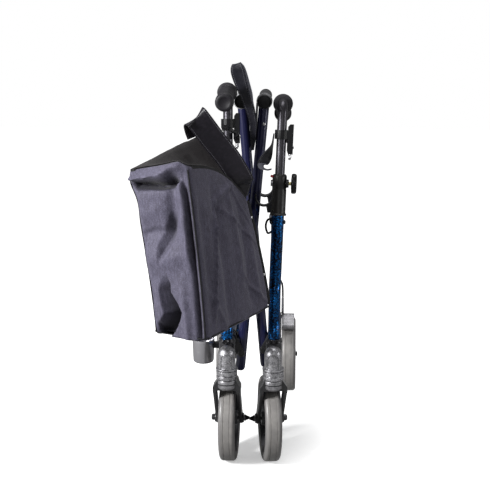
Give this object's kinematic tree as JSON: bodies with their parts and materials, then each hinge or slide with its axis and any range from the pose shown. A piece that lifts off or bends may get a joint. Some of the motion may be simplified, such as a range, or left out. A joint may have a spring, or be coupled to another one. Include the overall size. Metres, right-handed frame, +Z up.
{
  "type": "side-folding four-wheeled walker with carry bag",
  "caption": "Folded wheeled walker: two tube side frames on an X brace, swivelling front casters, turning height-adjustable handles with brakes, sling seat, cane cup and hung carry bag",
  "frame": {"origin": "bottom centre of the overall box, folded, on the floor", "axes": "+Z up, the front casters face -Y, +X is the right side seen from the front"},
  "size_m": [0.3289, 0.9018, 0.9155],
  "materials": {
    "frame_blue": "hammered metallic blue powder coat",
    "arm_navy": "dark navy gloss paint",
    "head_silver": "silver-grey painted casting",
    "fork_graphite": "dark grey moulded plastic",
    "black_plastic": "black moulded plastic",
    "grip_rubber": "matt dark grey moulded grip",
    "tyre_grey": "solid grey tyre, scuffed",
    "tube_steel": "dark satin tube",
    "bolt_black": "blackened bolt",
    "bag_nylon": "grey-violet woven nylon",
    "black_webbing": "black webbing"
  },
  "bodies": {
    "left_frame": {"front_upright_left": "frame_blue", "rear_tube_left": "frame_blue", "lower_rail_left": "frame_blue", "steering_head_left": "head_silver", "rear_casting_left": "fork_graphite", "clamp_sleeve_left": "black_plastic", "rear_axle_left": "bolt_black", "seat_cradle_left": "black_plastic", "pivot_bracket_left": "black_plastic", "brake_cable_left": "black_plastic", "cane_cup": "fork_graphite", "carry_bag": "bag_nylon", "bag_strap": "black_webbing", "bag_hanger": "black_webbing"},
    "brace_left": {"brace_arm_left": "arm_navy", "seat_rail_right": "black_plastic", "cross_bolt": "bolt_black", "seat_sling": "black_webbing", "pull_strap": "black_webbing"},
    "brace_right": {"brace_arm_right": "arm_navy", "seat_rail_left": "black_plastic"},
    "right_frame": {"front_upright_right": "frame_blue", "rear_tube_right": "frame_blue", "lower_rail_right": "frame_blue", "steering_head_right": "head_silver", "rear_casting_right": "fork_graphite", "clamp_sleeve_right": "black_plastic", "rear_axle_right": "bolt_black", "seat_cradle_right": "black_plastic", "pivot_bracket_right": "black_plastic", "brake_cable_right": "black_plastic"},
    "caster_fork_left": {"caster_fork_left": "fork_graphite", "caster_axle_left": "bolt_black"},
    "caster_wheel_left": {"caster_left_tyre": "tyre_grey", "caster_left_hub": "fork_graphite"},
    "rear_wheel_left": {"rear_left_tyre": "tyre_grey", "rear_left_hub": "fork_graphite"},
    "height_post_left": {"glide_bush_left": "black_plastic"},
    "handle_left": {"handle_tube_left": "tube_steel", "hand_grip_left": "grip_rubber", "brake_housing_left": "black_plastic"},
    "lever_left": {"brake_lever_left": "black_plastic"},
    "knob_left": {"clamp_knob_left": "black_plastic"},
    "brake_left": {"brake_arm_left": "black_plastic"},
    "caster_fork_right": {"caster_fork_right": "fork_graphite", "caster_axle_right": "bolt_black"},
    "caster_wheel_right": {"caster_right_tyre": "tyre_grey", "caster_right_hub": "fork_graphite"},
    "rear_wheel_right": {"rear_right_tyre": "tyre_grey", "rear_right_hub": "fork_graphite"},
    "height_post_right": {"glide_bush_right": "black_plastic"},
    "handle_right": {"handle_tube_right": "tube_steel", "hand_grip_right": "grip_rubber", "brake_housing_right": "black_plastic", "webbing_loop": "black_webbing"},
    "lever_right": {"brake_lever_right": "black_plastic"},
    "knob_right": {"clamp_knob_right": "black_plastic"},
    "brake_right": {"brake_arm_right": "black_plastic"}
  },
  "joints": [
    {"name": "fold", "type": "hinge", "parent": "left_frame", "child": "brace_left", "pos_m": [0.0271, -0.0077, 0.22127], "axis": [0, 1, 0], "range_deg": [0, 45.7]},
    {"name": "cross", "type": "hinge", "parent": "brace_left", "child": "brace_right", "pos_m": [0.0536, 0.0063, 0.52377], "axis": [0, 1, 0], "range_deg": [-91.4, 0], "deforming": ["seat_sling", "pull_strap"]},
    {"name": "spread", "type": "hinge", "parent": "brace_right", "child": "right_frame", "pos_m": [0.0801, 0.0203, 0.22127], "axis": [0, 1, 0], "range_deg": [0, 45.7]},
    {"name": "caster_swivel_left", "type": "hinge", "parent": "left_frame", "child": "caster_fork_left", "pos_m": [0.0012, -0.1987, 0.22087], "axis": [0, 0, 1], "range_deg": [0, 180]},
    {"name": "caster_spin_left", "type": "hinge", "parent": "caster_fork_left", "child": "caster_wheel_left", "pos_m": [0.00361, -0.12974, 0.1], "axis": [0.9994, -0.0349, 0], "continuous": true},
    {"name": "rear_spin_left", "type": "hinge", "parent": "left_frame", "child": "rear_wheel_left", "pos_m": [-0.0334, 0.3503, 0.1], "axis": [1, 0, 0], "continuous": true},
    {"name": "handle_height_left", "type": "slide", "parent": "left_frame", "child": "height_post_left", "axis": [-0.0044, 0.1064, 0.9943], "range_m": [-0.012, 0.071]},
    {"name": "handle_turn_left", "type": "hinge", "parent": "height_post_left", "child": "handle_left", "pos_m": [-0.00108, -0.07112, 0.66634], "axis": [-0.0044, 0.1064, 0.9943], "range_deg": [-150, 0]},
    {"name": "brake_lever_left", "type": "hinge", "parent": "handle_left", "child": "lever_left", "pos_m": [0.01905, -0.07595, 0.75283], "axis": [-1, -0.0005, -0.0044], "range_deg": [0, 12], "stiffness_Nm_per_rad": 0.6},
    {"name": "clamp_knob_left", "type": "hinge", "parent": "left_frame", "child": "knob_left", "pos_m": [-0.02719, -0.07333, 0.64574], "axis": [-1, -0.0005, -0.0044], "range_deg": [0, 360]},
    {"name": "brake_arm_left", "type": "hinge", "parent": "left_frame", "child": "brake_left", "pos_m": [-0.014, 0.31733, 0.21497], "axis": [1, 0, 0], "range_deg": [0, 5.8]},
    {"name": "caster_swivel_right", "type": "hinge", "parent": "right_frame", "child": "caster_fork_right", "pos_m": [0.106, -0.1987, 0.22087], "axis": [0, 0, 1], "range_deg": [-180, 0]},
    {"name": "caster_spin_right", "type": "hinge", "parent": "caster_fork_right", "child": "caster_wheel_right", "pos_m": [0.09699, -0.13029, 0.1], "axis": [0.9914, 0.1305, 0], "continuous": true},
    {"name": "rear_spin_right", "type": "hinge", "parent": "right_frame", "child": "rear_wheel_right", "pos_m": [0.1406, 0.3503, 0.1], "axis": [1, 0, 0], "continuous": true},
    {"name": "handle_height_right", "type": "slide", "parent": "right_frame", "child": "height_post_right", "axis": [0.037, 0.1063, 0.9936], "range_m": [0, 0.095]},
    {"name": "handle_turn_right", "type": "hinge", "parent": "height_post_right", "child": "handle_right", "pos_m": [0.11703, -0.07114, 0.66616], "axis": [0.037, 0.1063, 0.9936], "range_deg": [-180, 0]},
    {"name": "brake_lever_right", "type": "hinge", "parent": "handle_right", "child": "lever_right", "pos_m": [0.13978, -0.05077, 0.72493], "axis": [0.9993, -0.0039, -0.0368], "range_deg": [0, 12], "stiffness_Nm_per_rad": 0.6},
    {"name": "clamp_knob_right", "type": "hinge", "parent": "right_frame", "child": "knob_right", "pos_m": [0.14245, -0.07344, 0.64473], "axis": [0.9993, -0.0039, -0.0368], "range_deg": [0, 360]},
    {"name": "brake_arm_right", "type": "hinge", "parent": "right_frame", "child": "brake_right", "pos_m": [0.1212, 0.31733, 0.21497], "axis": [1, 0, 0], "range_deg": [0, 5.8]}
  ],
  "couplings": [
    {"joint": "cross", "follows": "fold", "ratio": -2},
    {"joint": "spread", "follows": "fold", "ratio": 1},
    {"joint": "brake_arm_left", "follows": "brake_lever_left", "ratio": 0.48},
    {"joint": "brake_arm_right", "follows": "brake_lever_right", "ratio": 0.48}
  ]
}
